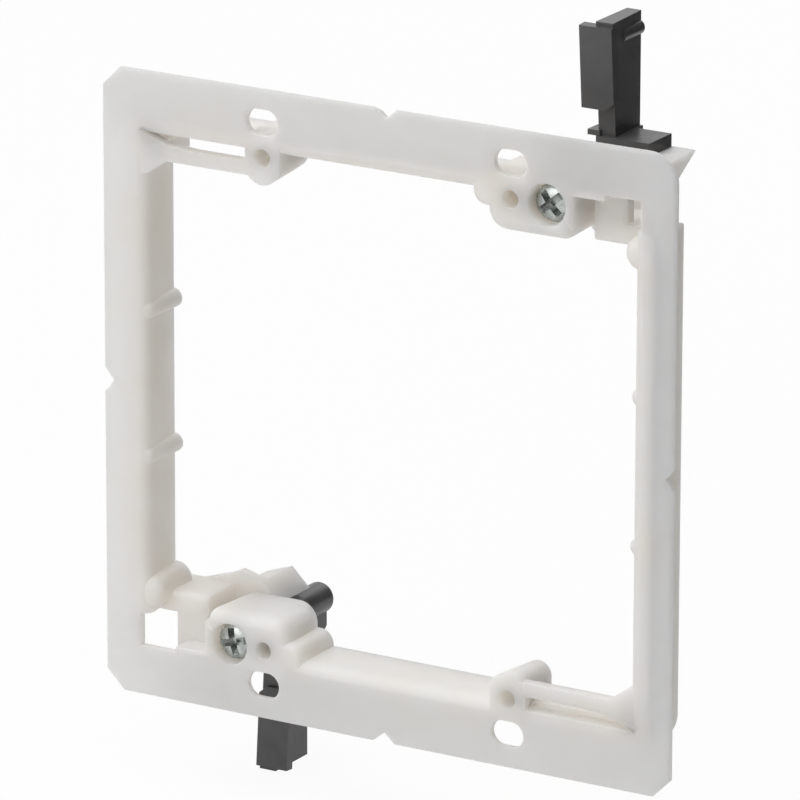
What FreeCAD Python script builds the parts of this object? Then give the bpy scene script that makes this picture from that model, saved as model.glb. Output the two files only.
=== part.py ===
import FreeCAD, Part
import math
import os

from FreeCAD import Vector

# Two-gang low-voltage mounting bracket, in millimetres. X runs across the wall and Z
# runs up it. Y = 0 is the wall face that the back of the flange lies on, the room is on
# the -Y side and the hollow of the wall is behind it.
#
# The bracket repeats when it is turned half round about Y. Each corner is written once,
# for the top half, and the turned copy makes the bottom half.

# Flange
FLANGE_WIDTH = 106.4            # 4-3/16 in over the outside edges
FLANGE_HEIGHT = 106.4
FLANGE_THICK = 1.2
FLANGE_LIP = 0.4                # thickness left at the rim, where the back is bevelled
CORNER_CHAMFER = 3.3
CORNER_ROUND = 5.0              # the one rounded corner, beside the upper wing
NOTCH_WIDTH = 4.1               # level and centre marks on the four sides
NOTCH_DEPTH = 1.75

# Device screws: the standard two-gang spacing
GANG_SPACING = 46.04
DEVICE_SPACING = 83.34
DEVICE_HOLE_R = 1.5

# Oval slots in the flange, outboard of the device holes
SLOT_SPACING = 95.2
SLOT_LENGTH = 6.1
SLOT_HEIGHT = 4.4

# Opening and the walls behind the flange
OPENING_BESIDE = 21.98          # from a device hole across to the opening's side
OPENING_ABOVE = 0.78            # from a device hole up to the opening's edge
MOUTH_ROUND = 2.0               # rounded edge where the flange turns into the opening
SIDE_DRAFT = 1.3                # how far each side wall leans out towards its back edge
WALL_DEPTH = 9.0                # from the wall face to the back edge of the walls
WALL_THICK = 2.4
SIDE_RIB_Z = 12.4
SIDE_RIB_R = 1.6
RIB_SETBACK = 0.4               # front end of each rib behind the flange's front
RIB_NOSE = 0.7                  # rounding of that end, as a share of the rib's radius
CORNER_RIB_R = 2.9
CORNER_RIB_INSET = 0.35
CORNER_RIB_DROP = 6.65          # rib centre below the inside of the top wall

# Tongue that carries the device hole on the plain corners
TONGUE_R = 3.2
TONGUE_DROP = 1.3               # centre of its lower round below the device hole
TONGUE_DRAFT = 0.8              # how much its radius draws in at the back
TONGUE_HEAD = 0.92              # its block stands above the top wall by this much

# Bar across the plain corners, with a narrow slot above it
BAR_HEIGHT = 2.3
BAR_GAP = 2.3                   # height of the slot between bar and flange
BAR_SLOT_RISE = 0.6             # how far that slot reaches above the opening's edge
BAR_SLOT_POINT = 0.4             # its floor rises by this much towards the point
BAR_DEPTH = 2.0
BAR_SETBACK = 0.2
BAR_GUSSET = 3.5
BAR_GUSSET_RISE = 2.5
POST_WIDTH = 3.2                # post behind the outer end of that slot
POST_SLANT = 2.5                # and how much wider it is at the slot's top

# Wing screw, a number 6 machine screw with a pan head
SCREW_OFFSET = 6.58             # beside the device hole
SCREW_R = 1.75
SCREW_GAP = 0.08                # running clearance of the shank in its holes
HEAD_R = 3.15
HEAD_HEIGHT = 1.9
HEAD_SINK = 1.2                 # top of the head below the flange's front
HEAD_DOME = 0.55
HEAD_GAP = 0.35                 # side clearance of the head in its counterbore
SEAT_GAP = 0.05
SCREW_LENGTH = 27.6
SCREW_POINT = 0.9
RECESS_SPAN = 3.7               # cross recess, tip to tip
RECESS_ARM = 0.95
RECESS_DEPTH = 1.5
HEAD_SLOT_WIDTH = 0.9
HEAD_SLOT_DEPTH = 0.7

# Lobe that carries the device hole and the wing screw
LOBE_BELOW = 5.6                # from the screw axis to the lobe's lower edge
LOBE_BESIDE = 4.6               # from the screw axis to its right-hand side
LOBE_BEYOND_HOLE = 4.7          # from the device hole to its left-hand side
LOBE_DRAFT = 0.05               # how much its left side and underside draw in, for each mm of depth
SHOULDER_WIDTH = 2.6            # small shoulder on the lobe's left
SHOULDER_DROP = 2.7             # and how far it stands below the opening's edge
SHOULDER_ROUND = 2.5
LOBE_ROUND = 3.4
LOBE_EDGE_ROUND = 2.3
LOBE_DEPTH = 11.7
LOBE_BACK_STEP = 1.5            # how much narrower the lobe is behind the walls
LOBE_ABOVE_HEAD = 0.6           # wall of the lobe above the counterbore

# Recessed panel, pocket, window and shelf in the corner beside the lobe
POCKET_WIDTH = 1.9              # open gap between lobe and panel
PANEL_WIDTH = 5.9
PANEL_SETBACK = 4.0             # behind the flange's front
PANEL_THICK = 2.0
POCKET_RISE = 1.4               # pocket above the opening's edge
WINDOW_RISE = 2.4
WINDOW_INSET = 2.2              # window's left edge, in from the panel's right edge
WINDOW_OVER = 1.6               # window's right edge, past the opening's side
SHELF_THICK = 3.5
SHELF_ROUND = 1.0
SHELF_DROP = 0.2                # how far it hangs below the lobe

# Web and guard behind the panel, which stop and steer the wing
WEB_THICK = 1.8
WEB_SIDE_GAP = 0.2              # from the web's right edge to the line of the opening's side
WEB_SINK = 0.3                  # web let into the back of the lobe
WEB_LAP = 1.0                   # web's left edge, clear of the screw's hole
WEB_PEAK_INSET = 0.8            # peak of its lower edge, left of the panel
WEB_PEAK_DROP = 2.3             # and below the shelf
WEB_FALL = 1.05                 # how far the edge falls away right of the peak
WEB_FALL_RUN = 2.3
GUARD_DEPTH = 9.4
GUARD_NOSE_ASIDE = 1.5          # ridge of the guard, right of the screw axis and below it
GUARD_NOSE_DROP = 6.95
GUARD_BELLY_X = 6.4
GUARD_BELLY_DROP = 5.25
GUARD_INNER_R = 3.7             # guide round the hub
GUARD_THICK = 2.4
GUARD_SLANT = 3.4
GUARD_REACH = 14.4              # its right-hand edge from the screw axis
GUARD_RISE = 5.85               # top of the guard above the screw axis
GUARD_GAP = 0.5                 # between the stop and the wing's foot

# Wing, a black moulding on the screw; u is to the right of the screw axis, w above it
HUB_R = 2.65
HUB_CLEAR = 2.3                 # from the lobe's back to the hub, at rest
HUB_LENGTH = 14.0
HUB_BACK_ROUND = 0.9
NECK_HALF = 1.5
NECK_BRACE = 1.5                # neck behind the foot at its top
FOOT_RIGHT = 9.65
FOOT_LOW = 4.6
FOOT_HIGH = 7.75
FOOT_SKEW = 0.5                 # how far the foot's front falls back at its outer end
FOOT_DEPTH = 7.7
BLADE_LEFT = 0.2
BLADE_RIGHT = 3.35
BLADE_TAPER = 0.6               # how much the blade thins towards its back edge
BLADE_DEPTH = 10.9
WING_TOP = 26.6
WING_LEAN = 4.5                 # degrees
PAD_LEFT = -2.4
PAD_RIGHT = 3.5
PAD_LOW = 12.1
PAD_HIGH = 25.85
PAD_THICK = 1.8
PAD_STEP = 0.7                  # pad front ahead of the blade's front edge
PAD_LEAD = 1.2                  # pad tip ahead of the foot's front
PAD_CUT_WIDTH = 1.5
PAD_CUT_HEIGHT = 1.2
LUG_THICK = 0.9
LUG_SETBACK = 0.3
LUG_DEPTH = 3.5
BEAD_R = 1.25
BEAD_RISE = 0.45
BEAD_Z = 23.8
BEAD_LENGTH = 6.0

FRONT = -FLANGE_THICK
HALF_W = FLANGE_WIDTH / 2
HALF_H = FLANGE_HEIGHT / 2
DEVICE_X = GANG_SPACING / 2
DEVICE_Z = DEVICE_SPACING / 2
SIDE_INNER = DEVICE_X + OPENING_BESIDE
SIDE_INNER_BACK = SIDE_INNER + SIDE_DRAFT
SIDE_OUTER = SIDE_INNER_BACK + WALL_THICK
CAP_INNER = DEVICE_Z + OPENING_ABOVE
CAP_OUTER = CAP_INNER + WALL_THICK
SCREW_X = DEVICE_X + SCREW_OFFSET
SCREW_Z = DEVICE_Z
LOBE_LOW = SCREW_Z - LOBE_BELOW
LOBE_LEFT = DEVICE_X - LOBE_BEYOND_HOLE
LOBE_RIGHT = SCREW_X + LOBE_BESIDE
LOBE_HIGH = SCREW_Z + HEAD_R + HEAD_GAP + LOBE_ABOVE_HEAD
PANEL_LEFT = LOBE_RIGHT + POCKET_WIDTH
PANEL_RIGHT = PANEL_LEFT + PANEL_WIDTH
PANEL_FRONT = FRONT + PANEL_SETBACK
POCKET_TOP = CAP_INNER + POCKET_RISE
WINDOW_TOP = CAP_INNER + WINDOW_RISE
WINDOW_LEFT = PANEL_RIGHT - WINDOW_INSET
WINDOW_RIGHT = SIDE_INNER + WINDOW_OVER
SHELF_LOW = LOBE_LOW - SHELF_DROP
SHELF_HIGH = SHELF_LOW + SHELF_THICK
BAR_HIGH = CAP_INNER + BAR_SLOT_RISE - BAR_GAP
BAR_LOW = BAR_HIGH - BAR_HEIGHT
WEB_FRONT = LOBE_DEPTH - WEB_SINK
WEB_RIGHT = SIDE_INNER - WEB_SIDE_GAP
WEB_PEAK_X = PANEL_LEFT - WEB_PEAK_INSET
GUARD_NOSE = (SCREW_X + GUARD_NOSE_ASIDE, SCREW_Z - GUARD_NOSE_DROP)    # x and z
GUARD_BACK = LOBE_DEPTH + GUARD_DEPTH
HUB_FRONT = LOBE_DEPTH + HUB_CLEAR
HUB_BACK = HUB_FRONT + HUB_LENGTH
FOOT_FRONT = HUB_FRONT
FOOT_BACK = FOOT_FRONT + FOOT_DEPTH
PAD_TIP_FRONT = FOOT_FRONT - PAD_LEAD
SCREW_TIP = FRONT + HEAD_SINK + SCREW_LENGTH
LEAN = math.tan(math.radians(WING_LEAN))
ACROSS = Vector(1, 0, 0)
BACK = Vector(0, 1, 0)
CLEAR = 1.0                     # how far a cutting solid runs past what it cuts
LAP = 0.5                       # how far a joined solid runs into its neighbour


def box(x0, x1, y0, y1, z0, z1):
    return Part.makeBox(x1 - x0, y1 - y0, z1 - z0, Vector(x0, y0, z0))


def plate(points, y0, y1):
    """A flat piece with an outline of (x, z) points, from y0 back to y1."""
    corners = [Vector(x, y0, z) for x, z in points]
    face = Part.Face(Part.makePolygon(corners + corners[:1]))
    return face.extrude(Vector(0, y1 - y0, 0))


def side_plate(points, x0, x1):
    """A flat piece with an outline of (y, z) points, from x0 across to x1."""
    corners = [Vector(x0, y, z) for y, z in points]
    face = Part.Face(Part.makePolygon(corners + corners[:1]))
    return face.extrude(Vector(x1 - x0, 0, 0))


def floor_plate(points, z0, z1):
    """A flat piece with an outline of (x, y) points, from z0 up to z1."""
    corners = [Vector(x, y, z0) for x, y in points]
    face = Part.Face(Part.makePolygon(corners + corners[:1]))
    return face.extrude(Vector(0, 0, z1 - z0))


def pin(radius, x, z, y0, y1):
    return Part.makeCylinder(radius, y1 - y0, Vector(x, y0, z), BACK)


def stadium(radius, x0, z0, x1, z1, y0, y1):
    """Two rounds and the straight stretch between them, square to the wall."""
    run = Vector(x1 - x0, 0, z1 - z0)
    side = Vector(-run.z, 0, run.x).normalize() * radius
    ends = [(x0 + side.x, z0 + side.z), (x0 - side.x, z0 - side.z),
            (x1 - side.x, z1 - side.z), (x1 + side.x, z1 + side.z)]
    return join([pin(radius, x0, z0, y0, y1), pin(radius, x1, z1, y0, y1), plate(ends, y0, y1)])


def join(shapes):
    first, rest = shapes[0], shapes[1:]
    return first.fuse(rest) if rest else first


def turned(shape):
    """The same shape after half a turn about the Y axis."""
    copy = shape.copy()
    copy.rotate(Vector(0, 0, 0), BACK, 180)
    return copy


def twice(shapes):
    return shapes + [turned(s) for s in shapes]


def edges_where(shape, test):
    return [e for e in shape.Edges if test(e)]


def along_y(edge):
    a, b = edge.Vertexes[0].Point, edge.Vertexes[-1].Point
    return abs(a.x - b.x) < 1e-4 and abs(a.z - b.z) < 1e-4 and abs(a.y - b.y) > 1e-4


def flange():
    """The plate that covers the cut edge of the wall, thinned from behind at its rim."""
    def upper_right(edge):
        return edge.CenterOfMass.x > 0 and edge.CenterOfMass.z > 0

    blank = box(-HALF_W, HALF_W, FRONT, 0, -HALF_H, HALF_H)
    blank = blank.makeFillet(CORNER_ROUND, edges_where(blank, lambda e: along_y(e) and upper_right(e)))
    plain = edges_where(blank, lambda e: along_y(e) and at_corner(e) and not upper_right(e))
    blank = blank.makeChamfer(CORNER_CHAMFER, plain)
    rim = edges_where(blank, lambda e: e.BoundBox.YMin > -1e-4)
    return blank.makeChamfer(FLANGE_THICK - FLANGE_LIP, rim)


def at_corner(edge):
    centre = edge.CenterOfMass
    return abs(abs(centre.x) - HALF_W) < 1e-4 and abs(abs(centre.z) - HALF_H) < 1e-4


def notches():
    """V notches that mark the middle of each side."""
    half = NOTCH_WIDTH / 2 * (NOTCH_DEPTH + CLEAR) / NOTCH_DEPTH
    high, wide = HALF_H + CLEAR, HALF_W + CLEAR
    top = [(0, HALF_H - NOTCH_DEPTH), (half, high), (-half, high)]
    right = [(HALF_W - NOTCH_DEPTH, 0), (wide, half), (wide, -half)]
    return twice([plate(outline, FRONT - CLEAR, CLEAR) for outline in (top, right)])


def lobe_outline(y, step=0):
    """Outline of the lobe at the depth y; its left side and underside draw in towards the back."""
    def at(x, z):
        return Vector(x, y, z)

    inset = (y - FRONT) * LOBE_DRAFT
    left, right, low, high = LOBE_LEFT + inset + step, LOBE_RIGHT, LOBE_LOW + inset, LOBE_HIGH
    turn, edge = LOBE_ROUND, LOBE_EDGE_ROUND
    bend = 1 - math.sqrt(0.5)       # where the middle of an arc lies, as a share of its radius
    turn_start, turn_end = at(left, low + turn), at(left + turn, low)
    turn_mid = at(left + turn * bend, low + turn * bend)
    edge_start, edge_end = at(right - edge, low), at(right, low + edge)
    edge_mid = at(right - edge * bend, low + edge * bend)
    top_right, top_left = at(right, high), at(left, high)
    return Part.Wire([
        Part.Arc(turn_start, turn_mid, turn_end).toShape(),
        Part.makeLine(turn_end, edge_start),
        Part.Arc(edge_start, edge_mid, edge_end).toShape(),
        Part.makeLine(edge_end, top_right),
        Part.makeLine(top_right, top_left),
        Part.makeLine(top_left, turn_start)])


def lobe(y0, y1):
    """Block round the device hole and the wing screw."""
    return Part.makeLoft([lobe_outline(y0), lobe_outline(y1)], True, True)


def shoulder():
    """Small rounded shoulder between the lobe and the edge of the opening."""
    left, low = LOBE_LEFT - SHOULDER_WIDTH, CAP_INNER - SHOULDER_DROP
    block = box(left, LOBE_LEFT + SHOULDER_WIDTH, FRONT, WALL_DEPTH, low, CAP_OUTER)
    corner = edges_where(block, lambda e: along_y(e) and e.BoundBox.XMax < LOBE_LEFT and
                         e.BoundBox.ZMax < CAP_INNER)
    block = block.makeFillet(SHOULDER_ROUND, corner)
    front = edges_where(block, lambda e: e.BoundBox.YMax < FRONT + 1e-4 and e.BoundBox.ZMin < CAP_INNER and
                        e.CenterOfMass.x < LOBE_LEFT + 1e-4)
    return block.makeFillet(SHOULDER_ROUND * 0.6, front)


def lobe_back():
    """The lobe behind the walls, narrower, to the end of the screw's hole."""
    ends = [lobe_outline(y, LOBE_BACK_STEP) for y in (WALL_DEPTH, LOBE_DEPTH)]
    reach = box(LOBE_LEFT, LOBE_RIGHT, 0, LOBE_DEPTH, LOBE_LOW, CAP_OUTER)
    return Part.makeLoft(ends, True, True).common(reach)


def lobe_cheek():
    """The lobe's right-hand front edge, left sharp beside the pocket."""
    low, inner = LOBE_LOW + LOBE_EDGE_ROUND, LOBE_RIGHT - MOUTH_ROUND
    outline = [(inner, low + MOUTH_ROUND), (LOBE_RIGHT, low), (LOBE_RIGHT, CAP_OUTER), (inner, CAP_OUTER)]
    return plate(outline, FRONT, FRONT + MOUTH_ROUND + LAP)


def opening():
    """The clear way through flange and walls, less the two lobes; its sides lean out."""
    y0, y1 = FRONT - CLEAR, WALL_DEPTH + CLEAR
    slope = SIDE_DRAFT / (WALL_DEPTH - FRONT)
    front_x = SIDE_INNER - slope * CLEAR
    back_x = SIDE_INNER_BACK + slope * CLEAR
    way = floor_plate([(-front_x, y0), (front_x, y0), (back_x, y1), (-back_x, y1)], -CAP_INNER, CAP_INNER)
    return way.cut(twice([lobe(y0 - CLEAR, y1 + CLEAR)]))


def side_wall():
    """Right-hand wall seen from the side, its back corners rounded off."""
    low, high = -CAP_OUTER, SHELF_HIGH
    blank = box(0, SIDE_OUTER, 0, WALL_DEPTH, low, high)

    def back_corner(edge, z):
        c = edge.CenterOfMass
        return edge.BoundBox.XLength > 1 and abs(c.y - WALL_DEPTH) < 1e-4 and abs(c.z - z) < 1e-4

    blank = blank.makeFillet(WALL_THICK, edges_where(blank, lambda e: back_corner(e, low)))
    return blank.makeFillet(WALL_THICK / 3, edges_where(blank, lambda e: back_corner(e, high)))


def walls_block():
    """The blank of the four walls, still solid in the middle."""
    cap = box(-SIDE_INNER_BACK, LOBE_RIGHT, 0, WALL_DEPTH, 0, CAP_OUTER)
    collar = box(-SIDE_OUTER, SIDE_OUTER, FRONT, FRONT + MOUTH_ROUND + LAP, -CAP_OUTER, CAP_OUTER)
    return twice([side_wall(), cap]) + [collar]


def ring():
    """Flange and walls with the opening through them and its rounded mouth."""
    def on_mouth(edge):
        bb, c = edge.BoundBox, edge.CenterOfMass
        flat = abs(bb.YMin - FRONT) < 1e-4 and abs(bb.YMax - FRONT) < 1e-4
        return flat and abs(c.x) < SIDE_INNER + LAP and abs(c.z) < CAP_INNER + LAP

    solid = join([flange()] + walls_block() + twice([lobe(FRONT, WALL_DEPTH)]))
    solid = solid.cut(opening()).removeSplitter()
    return solid.makeFillet(MOUTH_ROUND, edges_where(solid, on_mouth))


def rib(radius, x, z):
    """Rib along the inside of the right-hand wall, with a rounded front end."""
    blank = pin(radius, x, z, FRONT + RIB_SETBACK, WALL_DEPTH)
    front = edges_where(blank, lambda e: e.BoundBox.YMax < FRONT + MOUTH_ROUND)
    blank = blank.makeFillet(radius * RIB_NOSE, front)
    return blank.common(box(0, SIDE_OUTER - LAP, FRONT, WALL_DEPTH, -HALF_H, HALF_H))


def side_ribs():
    corner = rib(CORNER_RIB_R, SIDE_INNER_BACK - CORNER_RIB_INSET, CAP_INNER - CORNER_RIB_DROP)
    return [rib(SIDE_RIB_R, SIDE_INNER_BACK, z) for z in (-SIDE_RIB_Z, SIDE_RIB_Z)] + [corner]


def plain_corner():
    """Flange filled in level over the rounded mouth, for the bar's slot to be cut in."""
    return box(-SIDE_OUTER, -DEVICE_X, FRONT, 0, CAP_INNER - LAP, CAP_OUTER + LAP)


def bar_slot():
    """Narrow slot above the bar, tapered to a point at its outer end."""
    top = CAP_INNER + BAR_SLOT_RISE
    outline = [(-SIDE_INNER_BACK, top), (-SIDE_INNER + BAR_GUSSET, BAR_HIGH + BAR_SLOT_POINT),
               (-PANEL_LEFT, BAR_HIGH), (-DEVICE_X - TONGUE_R, BAR_HIGH), (-DEVICE_X - TONGUE_R, top)]
    return plate(outline, FRONT - CLEAR, BAR_DEPTH)


def bar():
    """Strip across the plain corner, with its gusset to the side band."""
    y0 = FRONT + BAR_SETBACK
    outline = [(-SIDE_INNER_BACK, BAR_LOW - BAR_GUSSET_RISE), (-SIDE_INNER, BAR_LOW - BAR_GUSSET_RISE),
               (-SIDE_INNER + BAR_GUSSET, BAR_LOW), (-DEVICE_X, BAR_LOW),
               (-DEVICE_X, CAP_INNER), (-SIDE_INNER_BACK, CAP_INNER)]
    return plate(outline, y0, y0 + BAR_DEPTH).cut(bar_slot())


def tongue_outline(y, radius):
    """Outline of the tongue at the depth y, round at its lower end."""
    low = DEVICE_Z - TONGUE_DROP
    left, right, foot = (Vector(-DEVICE_X + across, y, low - drop)
                         for across, drop in ((-radius, 0), (radius, 0), (0, radius)))
    top_left, top_right = (Vector(side.x, y, CAP_OUTER) for side in (left, right))
    return Part.Wire([Part.Arc(left, foot, right).toShape(), Part.makeLine(right, top_right),
                      Part.makeLine(top_right, top_left), Part.makeLine(top_left, left)])


def tongue():
    """Tongue round the device hole of a plain corner, narrower towards the back."""
    back_r = TONGUE_R - TONGUE_DRAFT
    body = Part.makeLoft([tongue_outline(FRONT, TONGUE_R), tongue_outline(WALL_DEPTH, back_r)], True, True)
    left, right = -DEVICE_X - back_r, -DEVICE_X + back_r
    head = box(left, right, 0, WALL_DEPTH, CAP_OUTER - LAP, CAP_OUTER + TONGUE_HEAD)
    return body.fuse(head)


def post():
    """Post that closes the outer end of the slot above the bar, its edge slanted."""
    left, right, top = -SIDE_INNER_BACK, -SIDE_INNER_BACK + POST_WIDTH, CAP_INNER + BAR_SLOT_RISE + LAP
    outline = [(left, BAR_LOW), (right, BAR_LOW), (right, BAR_HIGH), (right + POST_SLANT, top), (left, top)]
    return plate(outline, BAR_DEPTH, WALL_DEPTH)


def wing_corner():
    """Flange filled in level over the rounded mouth, for the window to be cut in."""
    return box(LOBE_RIGHT, SIDE_OUTER, FRONT, 0, SHELF_HIGH, CAP_OUTER + LAP)


def window():
    """Pocket and window through the flange beside the lobe, open behind."""
    low = SHELF_LOW - SHELF_THICK
    pocket = box(LOBE_RIGHT, WINDOW_RIGHT, FRONT - CLEAR, PANEL_FRONT, low, POCKET_TOP)
    clear_way = box(WINDOW_LEFT, WINDOW_RIGHT, FRONT - CLEAR, PANEL_FRONT, SHELF_HIGH, WINDOW_TOP)
    behind = box(LOBE_RIGHT, SIDE_OUTER + CLEAR, 0, PANEL_FRONT, SHELF_HIGH, CAP_OUTER + CLEAR)
    return [pocket.common(box(0, SIDE_INNER, FRONT - CLEAR, WALL_DEPTH, 0, HALF_H)), clear_way, behind]


def panel():
    """Recessed panel, the shelf below it and the bridge that ties it to the flange."""
    back = PANEL_FRONT + PANEL_THICK
    upright = box(PANEL_LEFT, PANEL_RIGHT, PANEL_FRONT, back, SHELF_LOW + SHELF_ROUND, WINDOW_TOP + LAP)
    shelf = box(PANEL_LEFT, SIDE_INNER_BACK + WALL_THICK / 2, PANEL_FRONT, WALL_DEPTH, SHELF_LOW, SHELF_HIGH)
    lower_front = edges_where(shelf, lambda e: e.BoundBox.YMax < PANEL_FRONT + 1e-4 and
                              e.BoundBox.ZMax < SHELF_LOW + 1e-4)
    shelf = shelf.makeFillet(SHELF_ROUND, lower_front)
    shelf_back = box(PANEL_LEFT, WEB_RIGHT, WALL_DEPTH, LOBE_DEPTH, SHELF_LOW, SHELF_HIGH)
    bridge = box(LOBE_RIGHT - CLEAR, WINDOW_LEFT, FRONT / 2, back, POCKET_TOP, CAP_OUTER)
    return [upright, shelf, shelf_back, bridge]


def web():
    """Web behind the panel; its lower edge rises from the guard to a peak."""
    peak = (WEB_PEAK_X, SHELF_LOW - WEB_PEAK_DROP)
    fall = (peak[0] + WEB_FALL_RUN, peak[1] + WEB_FALL)
    inner = SCREW_X + SCREW_R + WEB_LAP
    outline = [GUARD_NOSE, peak, fall, (WEB_RIGHT, SHELF_LOW + WEB_FALL), (WEB_RIGHT, SHELF_HIGH),
               (PANEL_RIGHT, SHELF_HIGH), (PANEL_RIGHT, CAP_OUTER), (inner, CAP_OUTER), (inner, LOBE_LOW)]
    return plate(outline, WEB_FRONT, WEB_FRONT + WEB_THICK)


def guard():
    """Wall behind the web: a stop for the wing's foot and a guide beside its hub."""
    def by_screw(across, up):
        return SCREW_X + across, SCREW_Z + up

    stop = FOOT_RIGHT + GUARD_GAP
    outer = [by_screw(-GUARD_INNER_R / 2, -GUARD_INNER_R), GUARD_NOSE,
             by_screw(GUARD_BELLY_X, -GUARD_BELLY_DROP), by_screw(GUARD_REACH - GUARD_SLANT, 0),
             by_screw(GUARD_REACH, GUARD_RISE)]
    inner = [by_screw(stop, GUARD_RISE), by_screw(stop, FOOT_LOW - GUARD_GAP),
             by_screw(GUARD_INNER_R + GUARD_THICK / 2, -GUARD_THICK),
             by_screw(GUARD_THICK / 2, -GUARD_INNER_R)]
    return plate(outer + inner, WEB_FRONT, GUARD_BACK)


def device_holes():
    return [pin(DEVICE_HOLE_R, x, DEVICE_Z, FRONT - CLEAR, LOBE_DEPTH + CLEAR)
            for x in (-DEVICE_X, DEVICE_X)]


def slots():
    reach = (SLOT_LENGTH - SLOT_HEIGHT) / 2
    z = SLOT_SPACING / 2
    return [stadium(SLOT_HEIGHT / 2, x - reach, z, x + reach, z, FRONT - CLEAR, CLEAR / 4)
            for x in (-DEVICE_X, DEVICE_X)]


def screw_way():
    """Counterbore for the head and the hole that the shank turns in."""
    seat = FRONT + HEAD_SINK + HEAD_HEIGHT + SEAT_GAP
    counterbore = pin(HEAD_R + HEAD_GAP, SCREW_X, SCREW_Z, FRONT - CLEAR, seat)
    shank = pin(SCREW_R + SCREW_GAP, SCREW_X, SCREW_Z, seat - CLEAR, LOBE_DEPTH + CLEAR)
    return [counterbore, shank]


def bracket_frame():
    """The whole moulded frame."""
    blank = ring().fuse(twice([plain_corner(), wing_corner()]))
    blank = blank.cut(twice([bar_slot()] + window()))
    added = [lobe_back(), lobe_cheek(), shoulder(), tongue(), bar(), post(), web(), guard()]
    added += panel() + side_ribs()
    for piece in added:
        blank = blank.fuse(twice([piece]))
    blank = blank.cut(twice(device_holes() + slots() + screw_way()) + notches())
    return blank.removeSplitter()


def cross_recess(y):
    """Cross recess and straight slot in the head, cut from the plane y."""
    half = RECESS_ARM / 2
    reach = RECESS_SPAN / 2
    arms = []
    for turn in (0, 90):
        deep = y + RECESS_DEPTH
        arm = side_plate([(y - CLEAR, reach), (y, reach), (deep, half), (deep, -half), (y, -reach),
                          (y - CLEAR, -reach)], -half, half)
        arm.rotate(Vector(0, 0, 0), BACK, turn)
        arms.append(arm)
    straight = box(-HEAD_R - CLEAR, HEAD_R + CLEAR, y - CLEAR, y + HEAD_SLOT_DEPTH,
                   -HEAD_SLOT_WIDTH / 2, HEAD_SLOT_WIDTH / 2)
    return arms + [straight]


def wing_screw():
    """Pan-head machine screw, turned about its own axis."""
    top = FRONT + HEAD_SINK
    seat = top + HEAD_HEIGHT
    end = SCREW_TIP - SCREW_POINT
    shank = Part.makeCylinder(SCREW_R, end - seat, Vector(0, seat, 0), BACK)
    point = Part.makeCone(SCREW_R, SCREW_R - SCREW_POINT, SCREW_POINT, Vector(0, end, 0), BACK)
    rim = Part.makeCylinder(HEAD_R, HEAD_HEIGHT - HEAD_DOME, Vector(0, top + HEAD_DOME, 0), BACK)
    dome = Part.makeCone(HEAD_R - HEAD_DOME, HEAD_R, HEAD_DOME, Vector(0, top, 0), BACK)
    screw = join([rim, dome, shank, point]).removeSplitter().cut(join(cross_recess(top)))
    screw.translate(Vector(SCREW_X, 0, SCREW_Z))
    return screw


def pad_front(w):
    """How far back the pad's front lies at the height w; the wing leans towards the wall."""
    return PAD_TIP_FRONT + (PAD_HIGH - w) * LEAN


def wing_blade():
    """Upright blade of the wing, thinner towards its back edge."""
    low = FOOT_LOW + LAP
    outline = [(pad_front(low) + PAD_STEP, low), (pad_front(WING_TOP) + PAD_THICK / 2, WING_TOP),
               (pad_front(WING_TOP) + BLADE_DEPTH, WING_TOP), (pad_front(WING_TOP) + BLADE_DEPTH, low)]
    blade = side_plate(outline, BLADE_LEFT, BLADE_RIGHT)
    front, back = FOOT_FRONT - CLEAR, pad_front(WING_TOP) + BLADE_DEPTH + CLEAR
    shave = floor_plate([(BLADE_RIGHT, front), (BLADE_RIGHT + CLEAR, front), (BLADE_RIGHT + CLEAR, back),
                         (BLADE_RIGHT - BLADE_TAPER, back)], FOOT_HIGH, WING_TOP + CLEAR)
    return blade.cut(shave)


def wing_pad():
    """Pad that bears on the back of the wall, with one lower corner cut off."""
    outline = [(PAD_LEFT, PAD_LOW), (PAD_RIGHT - PAD_CUT_WIDTH, PAD_LOW),
               (PAD_RIGHT, PAD_LOW + PAD_CUT_HEIGHT), (PAD_RIGHT, PAD_HIGH), (PAD_LEFT, PAD_HIGH)]
    slab = plate(outline, 0, PAD_THICK)
    slab.rotate(Vector(0, 0, PAD_HIGH), ACROSS, WING_LEAN)
    slab.translate(Vector(0, PAD_TIP_FRONT, 0))
    return slab


def wing_foot():
    """Foot that meets the guard when the wing is out, and the thin lug on its other side."""
    outline = [(BLADE_LEFT, FOOT_FRONT), (BLADE_RIGHT, FOOT_FRONT), (FOOT_RIGHT, FOOT_FRONT + FOOT_SKEW),
               (FOOT_RIGHT, FOOT_BACK), (BLADE_LEFT, FOOT_BACK)]
    lug = box(-NECK_HALF, BLADE_LEFT + LAP, FOOT_FRONT + LUG_SETBACK, FOOT_FRONT + LUG_DEPTH,
              FOOT_HIGH, FOOT_HIGH + LUG_THICK)
    return [floor_plate(outline, FOOT_LOW, FOOT_HIGH), lug]


def wing_hub():
    hub = pin(HUB_R, 0, 0, HUB_FRONT, HUB_BACK)
    rear = edges_where(hub, lambda e: e.BoundBox.YMin > HUB_BACK - 1e-4)
    return hub.makeFillet(HUB_BACK_ROUND, rear)


def wing_neck():
    """Rib from the hub up to the foot, set back behind the lug."""
    front, back = FOOT_FRONT + LUG_DEPTH - LAP, HUB_BACK - HUB_BACK_ROUND
    outline = [(front, 0), (back, 0), (back, FOOT_LOW), (FOOT_BACK + NECK_BRACE, FOOT_HIGH),
               (front, FOOT_HIGH)]
    return side_plate(outline, -NECK_HALF, BLADE_LEFT + CLEAR)


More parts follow.
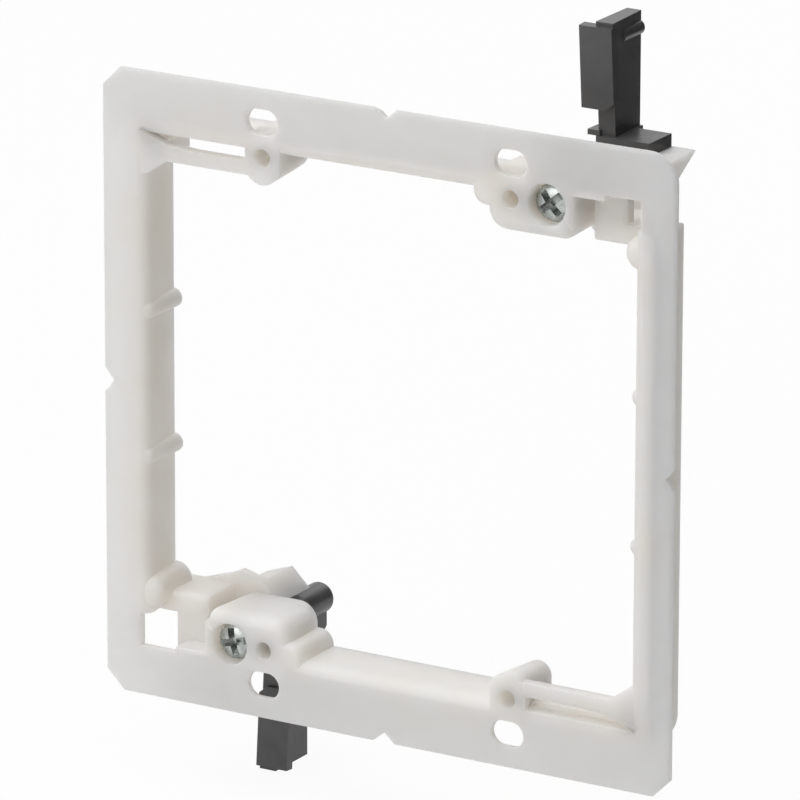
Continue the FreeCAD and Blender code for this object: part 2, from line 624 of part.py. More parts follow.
def wing_bead():
    """Half-round bead across the blade near its tip."""
    back = pad_front(WING_TOP) + BLADE_DEPTH
    sink = BEAD_R - BEAD_RISE
    return pin(BEAD_R, BLADE_RIGHT - BLADE_TAPER / 2 - sink, BEAD_Z, back - BEAD_LENGTH, back)


def wing():
    """The clamping wing, one moulding, standing out above its screw."""
    solid = join([wing_hub(), wing_neck(), wing_blade(), wing_pad(), wing_bead()] + wing_foot())
    bore = pin(SCREW_R + SCREW_GAP, 0, 0, HUB_FRONT - CLEAR, HUB_BACK + CLEAR)
    solid = solid.cut(bore).removeSplitter()
    solid.translate(Vector(SCREW_X, 0, SCREW_Z))
    return solid


def export(shape, name):
    if shape.ShapeType == "Compound" and len(shape.Solids) == 1:
        shape = shape.Solids[0]
    if not shape.isValid() or len(shape.Solids) != 1:
        raise RuntimeError("%s is not one valid solid: %d" % (name, len(shape.Solids)))
    shape.exportStep("parts/%s.step" % name)
    print(name, "volume %.1f mm3" % shape.Volume, "faces", len(shape.Faces))


def main():
    os.makedirs("parts", exist_ok=True)
    screw = wing_screw()
    upper = wing()
    export(bracket_frame(), "bracket_frame")
    export(screw, "upper_wing_screw")
    export(turned(screw), "lower_wing_screw")
    export(upper, "upper_wing")
    export(turned(upper), "lower_wing")


main()
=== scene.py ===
import math

import bmesh
import bpy
from bpy.props import FloatProperty, FloatVectorProperty, PointerProperty
from bpy.types import Operator, Panel, PropertyGroup
from mathutils import Matrix, Vector


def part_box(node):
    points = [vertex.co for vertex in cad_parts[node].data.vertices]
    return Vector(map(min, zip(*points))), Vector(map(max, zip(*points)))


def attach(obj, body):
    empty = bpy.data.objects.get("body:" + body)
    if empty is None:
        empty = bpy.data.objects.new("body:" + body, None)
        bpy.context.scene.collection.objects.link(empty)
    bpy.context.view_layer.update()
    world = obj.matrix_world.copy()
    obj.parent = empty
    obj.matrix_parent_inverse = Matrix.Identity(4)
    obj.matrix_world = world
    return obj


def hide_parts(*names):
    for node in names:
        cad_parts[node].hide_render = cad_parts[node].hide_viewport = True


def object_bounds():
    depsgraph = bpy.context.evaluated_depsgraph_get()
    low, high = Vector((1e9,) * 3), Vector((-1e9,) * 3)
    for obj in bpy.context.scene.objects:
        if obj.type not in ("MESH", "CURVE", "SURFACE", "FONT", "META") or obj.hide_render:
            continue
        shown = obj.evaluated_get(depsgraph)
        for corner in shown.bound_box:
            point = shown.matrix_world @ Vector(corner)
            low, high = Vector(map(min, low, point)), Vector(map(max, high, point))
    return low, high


bl_info = {
    "name": "Low voltage mounting bracket",
    "version": (1, 0, 0),
    "blender": (4, 5, 0),
    "location": "3D View > Sidebar > Bracket",
    "description": "Dresses the two-gang mounting bracket with its finished pieces, materials and studio",
    "category": "Object",
}

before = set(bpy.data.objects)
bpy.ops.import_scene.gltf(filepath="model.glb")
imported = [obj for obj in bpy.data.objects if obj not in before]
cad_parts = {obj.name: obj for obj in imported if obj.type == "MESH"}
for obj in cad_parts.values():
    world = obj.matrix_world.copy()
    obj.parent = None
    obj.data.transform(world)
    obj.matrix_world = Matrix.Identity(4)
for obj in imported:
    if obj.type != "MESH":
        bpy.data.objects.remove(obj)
cad_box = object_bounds()

MM = 0.001

# The wing screw where the CAD has it: its head is at the front, and its tip at the back
SCREW_LOW, SCREW_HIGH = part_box("upper_wing_screw")
SCREW_AXIS = (SCREW_LOW + SCREW_HIGH) / 2
HEAD_RADIUS = (SCREW_HIGH.x - SCREW_LOW.x) / 2
HEAD_TOP = SCREW_LOW.y
SCREW_TIP = SCREW_HIGH.y

# Each screw: its side, the turn about the bracket's middle that brings it to its corner,
# and the turn of its recess about its own line, both in degrees
SCREWS = (("upper", 0, -40), ("lower", 180, -14))

# Meshes
SAME_POINT = 0.002 * MM     # corners of the CAD mesh nearer than this are one corner
FLAT_WITHIN = 0.5           # facets that turn by less than this, in degrees, are one face
ROUND_FROM = 35             # edges that turn by more than this get the mould's round
SHARP_FROM = 30             # edges that turn by more than this shade as edges
SCREW_SHARP_FROM = 40
HEAD_SIDES = 64
DOME_STEPS = 8
DOME_FULLNESS = 0.9         # 1 is an ellipse, less is flatter towards the middle
HEAD_EDGE = 0.15 * MM       # small bevel round the head's underside
SHANK_LAP = 0.2 * MM        # how far the shank reaches into the head
RECESS_MOUTH = 0.3 * MM     # depth over which the recess goes straight down
RECESS_FLOOR = (1.5, 0.7)   # reach and half width of its arms at the floor, in half widths
THREAD_SIDES = 32
THREAD_ROWS = 8             # rows of corners along each turn of the thread
THREAD_FLAT = 0.12          # share of the thread's flank cut flat at crest and root
POINT_LENGTH = 0.9 * MM     # the thread's lead-in at the tip
POINT_TAPER = 0.75          # how much the radius falls for each length of lead-in

# Studio, in metres
FLOOR_REACH = 4.0
FLOOR_GLOW = 0.94           # share of plain white in what the eye sees of the floor
LAMPS = {                   # place, width and the setting that holds its power
    "top_lamp": ((-0.15, -0.35, 1.15), 0.9, "top_power"),
    "front_lamp": ((-0.35, -1.1, 0.35), 0.8, "front_power"),
    "back_lamp": ((-0.1, 0.95, 0.75), 0.7, "back_power"),
}
FLAG_FOLDS = ((0.46, -0.6), (0.34, 0.06), (0.08, 0.36))
FLAG_TOP = 0.6
FLAG_LIFT = 8 * MM          # its lower edge above the floor


def linear(hex_colour):
    """Linear colour of an sRGB hex value."""
    parts = [int(hex_colour[i:i + 2], 16) / 255 for i in (1, 3, 5)]
    return [c / 12.92 if c <= 0.04045 else ((c + 0.055) / 1.055) ** 2.4 for c in parts]


# Settings

class BracketMoulding(PropertyGroup):
    """The frame, moulded in natural polypropylene."""

    colour: FloatVectorProperty(
        name="Colour", description="Colour of the milky plastic where it is thick",
        subtype="COLOR", default=linear("#F0EAE5"), min=0, max=1)
    cloud_colour: FloatVectorProperty(
        name="Flow marks", description="Warmer tone of the faint flow marks in the plastic",
        subtype="COLOR", default=linear("#EDE5DC"), min=0, max=1)
    light_depth: FloatProperty(
        name="Light depth", description="How far light travels inside the plastic",
        default=11.0 * MM, min=0, unit="LENGTH")
    edge_round: FloatProperty(
        name="Edge round", description="Radius that the mould leaves on an outer edge",
        default=0.2 * MM, min=0, unit="LENGTH")


class BracketWings(PropertyGroup):
    """The two clamping wings, moulded in black polypropylene."""

    colour: FloatVectorProperty(
        name="Colour", description="Colour of the black plastic",
        subtype="COLOR", default=linear("#4B4B4C"), min=0, max=1)
    edge_round: FloatProperty(
        name="Edge round", description="Radius that the mould leaves on an outer edge",
        default=0.12 * MM, min=0, unit="LENGTH")


class BracketScrews(PropertyGroup):
    """The two wing screws, zinc-plated number 6 machine screws."""

    colour: FloatVectorProperty(
        name="Colour", description="Colour of the bright zinc",
        subtype="COLOR", default=linear("#C0C5C2"), min=0, max=1)
    thread_pitch: FloatProperty(
        name="Thread pitch", description="Spacing of the thread, 32 turns to the inch",
        default=25.4 / 32 * MM, min=0.1 * MM, unit="LENGTH")
    thread_depth: FloatProperty(
        name="Thread depth", description="Height of the thread from root to crest",
        default=0.42 * MM, min=0, unit="LENGTH")
    shank_radius: FloatProperty(
        name="Shank radius", description="Radius over the crests of the thread",
        default=1.745 * MM, min=0, unit="LENGTH")
    head_height: FloatProperty(
        name="Head height", description="Height of the pan head",
        default=1.9 * MM, min=0, unit="LENGTH")
    dome_rise: FloatProperty(
        name="Dome rise", description="How much of the head's height is dome",
        default=1.15 * MM, min=0, unit="LENGTH")
    recess_span: FloatProperty(
        name="Cross recess", description="Cross recess from tip to tip",
        default=4.7 * MM, min=0, unit="LENGTH")
    recess_arm: FloatProperty(
        name="Recess arm", description="Width of each arm of the cross recess",
        default=1.25 * MM, min=0, unit="LENGTH")
    recess_depth: FloatProperty(
        name="Recess depth", description="Depth of the cross recess at its middle",
        default=1.7 * MM, min=0, unit="LENGTH")


class BracketStudio(PropertyGroup):
    """Floor, lamps and camera."""

    floor_colour: FloatVectorProperty(
        name="Floor", description="Colour of the floor",
        subtype="COLOR", default=linear("#F4F4F3"), min=0, max=1)
    sky_light: FloatProperty(
        name="Room light", description="Strength of the even light from all around",
        default=0.47, min=0)
    top_power: FloatProperty(
        name="Top lamp", description="Power of the soft lamp above",
        default=8.0, min=0, unit="POWER")
    front_power: FloatProperty(
        name="Front lamp", description="Power of the soft lamp at the front left",
        default=1.7, min=0, unit="POWER")
    back_power: FloatProperty(
        name="Back lamp", description="Power of the soft lamp above and behind",
        default=1.5, min=0, unit="POWER")
    azimuth: FloatProperty(
        name="Azimuth", description="How far the camera stands round to the right",
        default=math.radians(30.885), subtype="ANGLE")
    elevation: FloatProperty(
        name="Elevation", description="How far the camera looks down",
        default=math.radians(17.204), subtype="ANGLE")
    roll: FloatProperty(
        name="Roll", description="Turn of the camera about its view",
        default=math.radians(0.145), subtype="ANGLE")
    distance: FloatProperty(
        name="Distance", description="From the camera to the middle of the bracket",
        default=1374.57 * MM, min=0.1, unit="LENGTH")
    lens: FloatProperty(
        name="Lens", description="Focal length for a 36 mm sensor, in millimetres",
        default=385.88, min=10)
    shift: FloatVectorProperty(
        name="Aim", description="How far right and up of the bracket's middle the camera stands",
        size=2, default=(2.489 * MM, 5.102 * MM), unit="LENGTH")
    middle: FloatVectorProperty(
        name="Middle", description="Point of the bracket that the camera turns about",
        size=3, default=(0, -1.2 * MM, -0.45 * MM), subtype="TRANSLATION")


# Materials

def add_node(tree, kind, inputs=None, **settings):
    """Adds a node with its settings; inputs gives each socket a value or the socket that feeds it."""
    made = tree.nodes.new(kind)
    for name, value in settings.items():
        setattr(made, name, value)
    for key, value in (inputs or {}).items():
        socket = made.inputs[key]
        if isinstance(value, bpy.types.NodeSocket):
            tree.links.new(value, socket)
        else:
            socket.default_value = value
    return made


def bare_tree(owner):
    """The emptied node tree of a new material or world."""
    owner.use_nodes = True
    owner.node_tree.nodes.clear()
    return owner.node_tree


def new_material(name, shader_inputs):
    """A material with one principled shader; returns it with its tree and that shader."""
    material = bpy.data.materials.new(name)
    tree = bare_tree(material)
    shader = add_node(tree, "ShaderNodeBsdfPrincipled", shader_inputs)
    add_node(tree, "ShaderNodeOutputMaterial", {"Surface": shader.outputs["BSDF"]})
    return material, tree, shader


def pattern(tree, size, **inputs):
    """Noise whose cells are about one size across, in metres, in the object's own coordinates."""
    place = add_node(tree, "ShaderNodeTexCoord").outputs["Object"]
    sockets = {"Vector": place, "Scale": 1 / size}
    sockets.update({name.title(): value for name, value in inputs.items()})
    return add_node(tree, "ShaderNodeTexNoise", sockets).outputs["Fac"]


def colour_between(tree, factor, low, high):
    """Colour that goes from low to high as factor goes over the middle of its range."""
    ramp = add_node(tree, "ShaderNodeValToRGB", {"Fac": factor})
    for stop, place, colour in zip(ramp.color_ramp.elements, (0.35, 0.65), (low, high)):
        stop.position = place
        stop.color = (*colour, 1)
    return ramp.outputs["Color"]


def roughness_between(tree, factor, low, high):
    """Roughness that goes from low to high as factor goes over the middle of its range."""
    return add_node(tree, "ShaderNodeMapRange", {
        "Value": factor, "From Min": 0.3, "From Max": 0.7,
        "To Min": low, "To Max": high}).outputs["Result"]


def raise_surface(tree, shader, height, depth):
    """Gives the shader a surface raised by height, depth metres at most."""
    bump = add_node(tree, "ShaderNodeBump", {"Height": height, "Distance": depth, "Strength": 1.0})
    tree.links.new(bump.outputs["Normal"], shader.inputs["Normal"])


def natural_polypropylene(look):
    """Natural polypropylene, moulded without pigment: milky, half clear, with a soft sheen."""
    # Light goes some millimetres into it, so edges glow, recesses stay pale and warm, and
    # nothing in it is ever quite dark. The mould's surface is fine-ground, not polished.
    material, tree, shader = new_material("natural_polypropylene_moulded", {
        "IOR": 1.49,
        "Subsurface Weight": 1.0,
        "Subsurface Scale": look.light_depth,
        "Subsurface Radius": (1.0, 0.94, 0.84),
        "Subsurface Anisotropy": 0.0})
    flow = pattern(tree, 14 * MM, detail=2.0, roughness=0.45, distortion=0.6)
    clouds = colour_between(tree, flow, look.cloud_colour, look.colour)
    tree.links.new(clouds, shader.inputs["Base Color"])
    sheen = pattern(tree, 5 * MM, detail=2.0)
    tree.links.new(roughness_between(tree, sheen, 0.42, 0.52), shader.inputs["Roughness"])
    # The ground texture of the mould is about 0.1 mm; 0.5 mm is the finest that shows here.
    grain = pattern(tree, 0.5 * MM, detail=3.0, roughness=0.6)
    raise_surface(tree, shader, grain, 0.006 * MM)
    return material


def black_polypropylene(look):
    """Black polypropylene with carbon pigment, moulded: satin, its edges catch a grey line."""
    material, tree, shader = new_material("black_polypropylene_moulded", {
        "IOR": 1.49, "Specular IOR Level": 0.46})
    flow = pattern(tree, 6 * MM, detail=2.0)
    lighter = [min(1.0, c * 1.25) for c in look.colour]
    clouds = colour_between(tree, flow, look.colour, lighter)
    tree.links.new(clouds, shader.inputs["Base Color"])
    sheen = pattern(tree, 3 * MM, detail=3.0, roughness=0.6)
    tree.links.new(roughness_between(tree, sheen, 0.3, 0.42), shader.inputs["Roughness"])
    # Ground mould texture of about 0.1 mm, drawn at 0.35 mm so that it shows.
    grain = pattern(tree, 0.35 * MM, detail=2.0)
    raise_surface(tree, shader, grain, 0.008 * MM)
    return material


def bright_zinc(look):
    """Zinc-plated steel, clear passivated: grey-white metal, slightly cloudy, with tool marks."""
    material, tree, shader = new_material("zinc_plated_steel", {"Metallic": 1.0})
    cloud = pattern(tree, 1.2 * MM, detail=3.0)
    darker = [c * 0.72 for c in look.colour]
    tree.links.new(colour_between(tree, cloud, darker, look.colour), shader.inputs["Base Color"])
    haze = pattern(tree, 0.5 * MM, detail=3.0)
    tree.links.new(roughness_between(tree, haze, 0.2, 0.36), shader.inputs["Roughness"])
    # Plating grain is some hundredths of a millimetre; drawn at 0.2 mm so that it shows.
    grain = pattern(tree, 0.2 * MM, detail=2.0)
    raise_surface(tree, shader, grain, 0.01 * MM)
    return material


# Meshes

def add_object(name, mesh):
    """A new object with this mesh, in the scene."""
    made = bpy.data.objects.new(name, mesh)
    bpy.context.scene.collection.objects.link(made)
    return made


def add_modifier(obj, kind, **settings):
    """A new modifier on the object, with its settings."""
    made = obj.modifiers.new(kind.title(), kind)
    for name, value in settings.items():
        setattr(made, name, value)
    return made


def apply_modifiers(obj):
    """Makes what the object's modifiers show its own mesh, and takes them off."""
    bpy.context.view_layer.update()
    graph = bpy.context.evaluated_depsgraph_get()
    mesh = bpy.data.meshes.new_from_object(obj.evaluated_get(graph), depsgraph=graph)
    obj.modifiers.clear()
    obj.data = mesh


def shade_by_angle(mesh, degrees):
    """Shades the mesh smooth, but for edges that turn by more than this."""
    mesh.shade_smooth()
    mesh.set_sharp_from_angle(angle=math.radians(degrees))


def mesh_object(name, solid):
    """A new object from a bmesh, which is then freed, with its faces turned outwards."""
    bmesh.ops.recalc_face_normals(solid, faces=solid.faces)
    mesh = bpy.data.meshes.new(name)
    solid.to_mesh(mesh)
    solid.free()
    return add_object(name, mesh)


def merged_copy(node, name):
    """A copy of a CAD node as one joined surface with its flat faces whole."""
    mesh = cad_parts[node].data.copy()
    mesh.name = name
    mesh.materials.clear()
    solid = bmesh.new()
    solid.from_mesh(mesh)
    bmesh.ops.remove_doubles(solid, verts=solid.verts, dist=SAME_POINT)
    bmesh.ops.dissolve_limit(
        solid, angle_limit=math.radians(FLAT_WITHIN), verts=solid.verts, edges=solid.edges)
    solid.to_mesh(mesh)
    solid.free()
    return add_object(name, mesh)


def rounded_copy(node, name, width, material):
    """A merged copy with every outer edge rounded as a mould leaves it."""
    piece = merged_copy(node, name)
    add_modifier(piece, "BEVEL", width=width, segments=2, limit_method="ANGLE",
                 angle_limit=math.radians(ROUND_FROM), use_clamp_overlap=True,
                 miter_outer="MITER_ARC")
    apply_modifiers(piece)
    shade_by_angle(piece.data, SHARP_FROM)
    # Normals that follow the large faces keep these flat beside their narrow rounds.
    add_modifier(piece, "WEIGHTED_NORMAL", keep_sharp=True, weight=80)
    apply_modifiers(piece)
    piece.data.materials.append(material)
    return piece


def dress(piece, body, node):
    """Hands a finished piece to its CAD body in place of its node."""
    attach(piece, body)
    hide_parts(node)


def lathe(name, profile, steps):
    """A solid turned about the Y axis; profile is (radius, y) from the front centre to the back centre."""
    solid = bmesh.new()
    rings = []
    for radius, y in profile:
        if radius == 0:
            rings.append([solid.verts.new((0, y, 0))])
            continue
        angles = [math.tau * i / steps for i in range(steps)]
        rings.append([solid.verts.new((radius * math.cos(a), y, radius * math.sin(a))) for a in angles])
    for near, far in zip(rings, rings[1:]):
        for i in range(steps):
            j = (i + 1) % steps
            corners = [near[i % len(near)], near[j % len(near)], far[j % len(far)], far[i % len(far)]]
            solid.faces.new(list(dict.fromkeys(corners)))
    return mesh_object(name, solid)


def cross_outline(reach, arm):
    """Corners of a cross with four arms, as (x, z)."""
    quarter = [(arm, reach), (arm, arm), (reach, arm)]
    corners = []
    for _ in range(4):
        corners += quarter
        quarter = [(z, -x) for x, z in quarter]
    return corners


def cutter(name, outlines):
    """A closed solid through outlines of equal length, each given as (y, its (x, z) corners)."""
    solid = bmesh.new()
    rings = [[solid.verts.new((x, y, z)) for x, z in corners] for y, corners in outlines]
    solid.faces.new(rings[0])
    solid.faces.new(rings[-1][::-1])
    for near, far in zip(rings, rings[1:]):
        for i in range(len(near)):
            j = (i + 1) % len(near)
            solid.faces.new([near[i], near[j], far[j], far[i]])
    return mesh_object(name, solid)


def cut_away(solid, tool):
    """Cuts the tool out of the solid and removes it."""
    add_modifier(solid, "BOOLEAN", operation="DIFFERENCE", solver="EXACT", object=tool)
    apply_modifiers(solid)
    bpy.data.objects.remove(tool)


# Thread

def thread_tree():
    """Geometry nodes that cut a screw thread into a plain cylinder and lay it along the Y axis."""
    tree = bpy.data.node_groups.new("screw_thread", "GeometryNodeTree")
    for name in ("Crest Radius", "Thread Depth", "Pitch", "Length", "Start", "Point"):
        tree.interface.new_socket(name, in_out="INPUT", socket_type="NodeSocketFloat")
    tree.interface.new_socket("Material", in_out="INPUT", socket_type="NodeSocketMaterial")
    tree.interface.new_socket("Geometry", in_out="OUTPUT", socket_type="NodeSocketGeometry")
    given = add_node(tree, "NodeGroupInput").outputs

    def work_out(operation, *values):
        return add_node(tree, "ShaderNodeMath", dict(enumerate(values)), operation=operation).outputs[0]

    turns = work_out("DIVIDE", given["Length"], given["Pitch"])
    rows = work_out("ROUND", work_out("MULTIPLY", turns, float(THREAD_ROWS)))
    rod = add_node(tree, "GeometryNodeMeshCylinder", {
        "Vertices": THREAD_SIDES, "Side Segments": rows,
        "Radius": given["Crest Radius"], "Depth": given["Length"]})
    place = add_node(tree, "GeometryNodeInputPosition").outputs[0]
    xyz = add_node(tree, "ShaderNodeSeparateXYZ", {0: place}).outputs
    turn = work_out("DIVIDE", work_out("ARCTAN2", xyz["Y"], xyz["X"]), math.tau)
    turns_along = work_out("DIVIDE", xyz["Z"], given["Pitch"])
    phase = work_out("FRACT", work_out("SUBTRACT", turns_along, turn))
    # A triangle wave over each pitch, its crest and root cut a little flat.
    wave = work_out("MULTIPLY", work_out("ABSOLUTE", work_out("SUBTRACT", phase, 0.5)), 2.0)
    valley = add_node(tree, "ShaderNodeMapRange", {
        "Value": wave, "From Min": THREAD_FLAT, "From Max": 1 - THREAD_FLAT}).outputs["Result"]
    depth = work_out("MULTIPLY", valley, given["Thread Depth"])
    half = work_out("MULTIPLY", given["Length"], 0.5)
    to_tip = work_out("SUBTRACT", half, xyz["Z"])
    into_point = work_out("MAXIMUM", work_out("SUBTRACT", given["Point"], to_tip), 0.0)
    taper = work_out("MULTIPLY", into_point, POINT_TAPER)
    radius = work_out("SUBTRACT", work_out("SUBTRACT", given["Crest Radius"], depth), taper)
    share = work_out("DIVIDE", radius, given["Crest Radius"])
    narrowed = add_node(tree, "ShaderNodeCombineXYZ", {
        "X": work_out("MULTIPLY", xyz["X"], share),
        "Y": work_out("MULTIPLY", xyz["Y"], share),
        "Z": work_out("ADD", xyz["Z"], work_out("ADD", half, given["Start"]))}).outputs[0]
    threaded = add_node(tree, "GeometryNodeSetPosition", {
        "Geometry": rod.outputs["Mesh"], "Position": narrowed}).outputs[0]
    laid = add_node(tree, "GeometryNodeTransform", {
        "Geometry": threaded, "Rotation": (-math.pi / 2, 0, 0)}).outputs[0]
    real = add_node(tree, "GeometryNodeRealizeInstances", {"Geometry": laid}).outputs[0]
    clad = add_node(tree, "GeometryNodeSetMaterial", {"Geometry": real, "Material": given["Material"]})
    add_node(tree, "NodeGroupOutput", {"Geometry": clad.outputs[0]})
    return tree


def threaded_shank(sizes, start, length, material):
    """The threaded rod of one screw, as a plain mesh object on the Y axis."""
    rod = add_object("shank", bpy.data.meshes.new("shank"))
    tree = thread_tree()
    growth = add_modifier(rod, "NODES", node_group=tree)
    wanted = {"Crest Radius": sizes.shank_radius, "Thread Depth": sizes.thread_depth,
              "Pitch": sizes.thread_pitch, "Length": length, "Start": start,
              "Point": POINT_LENGTH, "Material": material}
    for item in tree.interface.items_tree:
        if item.in_out == "INPUT":
            growth[item.identifier] = wanted[item.name]
    apply_modifiers(rod)
    return rod


def pan_head(sizes):
    """The pan head of one screw, domed, with a cross recess, as a plain mesh object on the Y axis."""
    profile = [(0, HEAD_TOP)]
    for step in range(1, DOME_STEPS + 1):
        angle = math.pi / 2 * step / DOME_STEPS
        profile.append((HEAD_RADIUS * math.sin(angle) ** DOME_FULLNESS,
                        HEAD_TOP + sizes.dome_rise * (1 - math.cos(angle))))
    seat = HEAD_TOP + sizes.head_height
    profile += [(HEAD_RADIUS, seat - HEAD_EDGE), (HEAD_RADIUS - HEAD_EDGE, seat), (0, seat)]
    head = lathe("head", profile, HEAD_SIDES)
    arm = sizes.recess_arm / 2
    mouth = cross_outline(sizes.recess_span / 2, arm)
    floor = cross_outline(*(arm * share for share in RECESS_FLOOR))
    cut_away(head, cutter("recess", [(HEAD_TOP - MM, mouth), (HEAD_TOP + RECESS_MOUTH, mouth),
                                     (HEAD_TOP + sizes.recess_depth, floor)]))
    return head


# Pieces

class BRACKET_OT_frame(Operator):
    """Make the moulded frame with its rounded edges"""

    bl_idname = "bracket.make_frame"
    bl_label = "Moulded frame"

    def execute(self, context):
        look = context.scene.bracket_moulding
        piece = rounded_copy("bracket_frame", "moulded_frame", look.edge_round, natural_polypropylene(look))
        dress(piece, "frame", "bracket_frame")
        return {"FINISHED"}


class BRACKET_OT_wings(Operator):
    """Make the two clamping wings with their rounded edges"""

    bl_idname = "bracket.make_wings"
    bl_label = "Clamping wings"

    def execute(self, context):
        look = context.scene.bracket_wings
        material = black_polypropylene(look)
        for side in ("upper", "lower"):
            piece = rounded_copy(side + "_wing", side + "_clamp_wing", look.edge_round, material)
            dress(piece, side + "_wing", side + "_wing")
        return {"FINISHED"}


class BRACKET_OT_screws(Operator):
    """Make the two pan-head wing screws with recess and thread"""

    bl_idname = "bracket.make_screws"
    bl_label = "Wing screws"

    def execute(self, context):
        sizes = context.scene.bracket_screws
        material = bright_zinc(sizes)
        start = HEAD_TOP + sizes.head_height - SHANK_LAP
        for side, corner_turn, recess_turn in SCREWS:
            screw = pan_head(sizes)
            screw.name = side + "_clamp_screw"
            shank = threaded_shank(sizes, start, SCREW_TIP - start, material)
            solid = bmesh.new()
            solid.from_mesh(screw.data)
            solid.from_mesh(shank.data)
            solid.to_mesh(screw.data)
            solid.free()
            bpy.data.objects.remove(shank)
            shade_by_angle(screw.data, SCREW_SHARP_FROM)
            screw.data.materials.clear()
            screw.data.materials.append(material)
            screw.data.transform(
                Matrix.Rotation(math.radians(corner_turn), 4, "Y")
                @ Matrix.Translation((SCREW_AXIS.x, 0, SCREW_AXIS.z))
                @ Matrix.Rotation(math.radians(recess_turn), 4, "Y"))
            dress(screw, side + "_screw", side + "_wing_screw")
        return {"FINISHED"}


# Studio

def seen_by_eye(tree):
    """1 for what the camera sees, itself or in gloss and glass, and 0 for light on the object."""
    rays = add_node(tree, "ShaderNodeLightPath").outputs
    seen = rays["Is Camera Ray"]
    for kind in ("Is Glossy Ray", "Is Transmission Ray"):
        seen = add_node(tree, "ShaderNodeMath", {0: seen, 1: rays[kind]}, operation="MAXIMUM").outputs[0]
    return seen


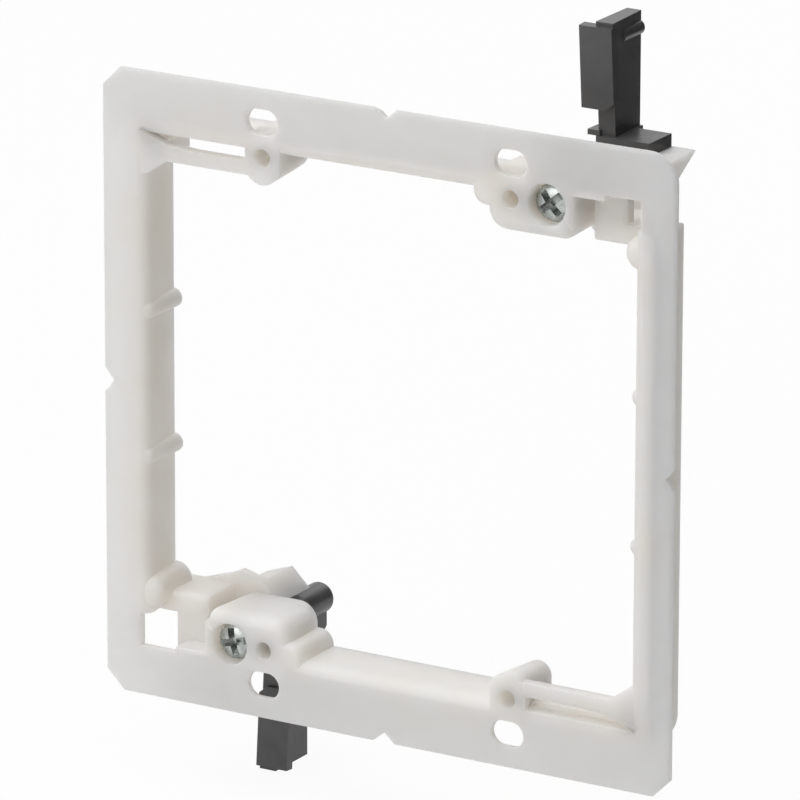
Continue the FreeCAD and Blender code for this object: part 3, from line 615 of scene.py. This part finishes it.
class BRACKET_OT_studio(Operator):
    """Make the floor, the soft lamps and the camera"""

    bl_idname = "bracket.make_studio"
    bl_label = "Studio"

    def execute(self, context):
        studio = context.scene.bracket_studio
        self.floor(studio)
        self.room(context.scene, studio)
        for name, (place, width, power) in LAMPS.items():
            self.lamp(name, place, width, getattr(studio, power))
        self.flag()
        context.scene.camera = self.camera(studio)
        return {"FINISHED"}

    @staticmethod
    def floor(studio):
        """A matt white board: white where it is seen, with a faint shadow on it."""
        mesh = bpy.data.meshes.new("floor")
        low, reach = cad_box[0].z, FLOOR_REACH
        corners = [(-reach, -reach, low), (reach, -reach, low), (reach, reach, low), (-reach, reach, low)]
        mesh.from_pydata(corners, [], [(0, 1, 2, 3)])
        floor = add_object("floor", mesh)
        material = bpy.data.materials.new("white_board")
        tree = bare_tree(material)
        board = add_node(tree, "ShaderNodeBsdfDiffuse", {"Color": (*studio.floor_colour, 1)})
        white = add_node(tree, "ShaderNodeEmission", {"Strength": 1.0})
        share = add_node(tree, "ShaderNodeMath", {0: seen_by_eye(tree), 1: FLOOR_GLOW},
                         operation="MULTIPLY").outputs[0]
        mixed = add_node(tree, "ShaderNodeMixShader", {
            0: share, 1: board.outputs[0], 2: white.outputs[0]})
        add_node(tree, "ShaderNodeOutputMaterial", {"Surface": mixed.outputs[0]})
        floor.data.materials.append(material)

    @staticmethod
    def room(scene, studio):
        """White all round to the camera, metal and glass, and a plain even light on everything else."""
        world = bpy.data.worlds.new("studio_room")
        scene.world = world
        tree = bare_tree(world)
        strength = add_node(tree, "ShaderNodeMapRange", {
            "Value": seen_by_eye(tree), "To Min": studio.sky_light, "To Max": 1.0}).outputs["Result"]
        light = add_node(tree, "ShaderNodeBackground", {"Color": (1, 1, 1, 1), "Strength": strength})
        add_node(tree, "ShaderNodeOutputWorld", {"Surface": light.outputs[0]})
        scene.view_settings.view_transform = "Standard"

    @staticmethod
    def lamp(name, place, width, power):
        """A round soft lamp that faces the bracket."""
        data = bpy.data.lights.new(name, "AREA")
        data.shape = "DISK"
        data.size = width
        data.energy = power
        lamp = bpy.data.objects.new(name, data)
        bpy.context.scene.collection.objects.link(lamp)
        lamp.location = place
        lamp.rotation_mode = "QUATERNION"
        lamp.rotation_quaternion = (-Vector(place)).to_track_quat("-Z", "Y")

    @staticmethod
    def flag():
        """A folded flag of black cloth at the right, unseen by the camera, that darkens what faces it."""
        mesh = bpy.data.meshes.new("flag")
        corners = [(x, y, z) for z in (cad_box[0].z + FLAG_LIFT, FLAG_TOP) for x, y in FLAG_FOLDS]
        mesh.from_pydata(corners, [], [(0, 1, 4, 3), (1, 2, 5, 4)])
        flag = add_object("flag", mesh)
        flag.visible_camera = False
        cloth = new_material("black_cloth", {"Base Color": (*linear("#161616"), 1), "Roughness": 0.9})[0]
        mesh.materials.append(cloth)

    @staticmethod
    def camera(studio):
        """The camera at the photograph's angle, distance and aim."""
        data = bpy.data.cameras.new("camera")
        data.lens = studio.lens
        data.clip_start, data.clip_end = 0.05, 20
        camera = bpy.data.objects.new("camera", data)
        bpy.context.scene.collection.objects.link(camera)
        turn = (Matrix.Rotation(studio.azimuth, 3, "Z")
                @ Matrix.Rotation(math.pi / 2 - studio.elevation, 3, "X")
                @ Matrix.Rotation(studio.roll, 3, "Z"))
        across, up = studio.shift
        spot = Vector(studio.middle) + turn @ Vector((across, up, studio.distance))
        camera.matrix_world = Matrix.LocRotScale(spot, turn, None)
        return camera


class BRACKET_PT_panel(Panel):
    """Sizes, finishes and steps of the bracket"""

    bl_idname = "BRACKET_PT_panel"
    bl_label = "Mounting bracket"
    bl_space_type = "VIEW_3D"
    bl_region_type = "UI"
    bl_category = "Bracket"

    def draw(self, context):
        for group in GROUPS:
            settings = getattr(context.scene, group)
            box = self.layout.box()
            for name in settings.bl_rna.properties.keys():
                if name not in ("rna_type", "name"):
                    box.prop(settings, name)
        for step in STEPS:
            self.layout.operator(step.bl_idname)


GROUPS = {"bracket_moulding": BracketMoulding, "bracket_wings": BracketWings,
          "bracket_screws": BracketScrews, "bracket_studio": BracketStudio}
STEPS = (BRACKET_OT_frame, BRACKET_OT_wings, BRACKET_OT_screws, BRACKET_OT_studio)


def register():
    for made in (*GROUPS.values(), *STEPS, BRACKET_PT_panel):
        bpy.utils.register_class(made)
    for name, group in GROUPS.items():
        setattr(bpy.types.Scene, name, PointerProperty(type=group))


def unregister():
    for name in GROUPS:
        delattr(bpy.types.Scene, name)
    for made in reversed((*GROUPS.values(), *STEPS, BRACKET_PT_panel)):
        bpy.utils.unregister_class(made)


def main():
    register()
    for step in STEPS:
        area, action = step.bl_idname.split(".")
        getattr(getattr(bpy.ops, area), action)()


if __name__ == "__main__":
    main()
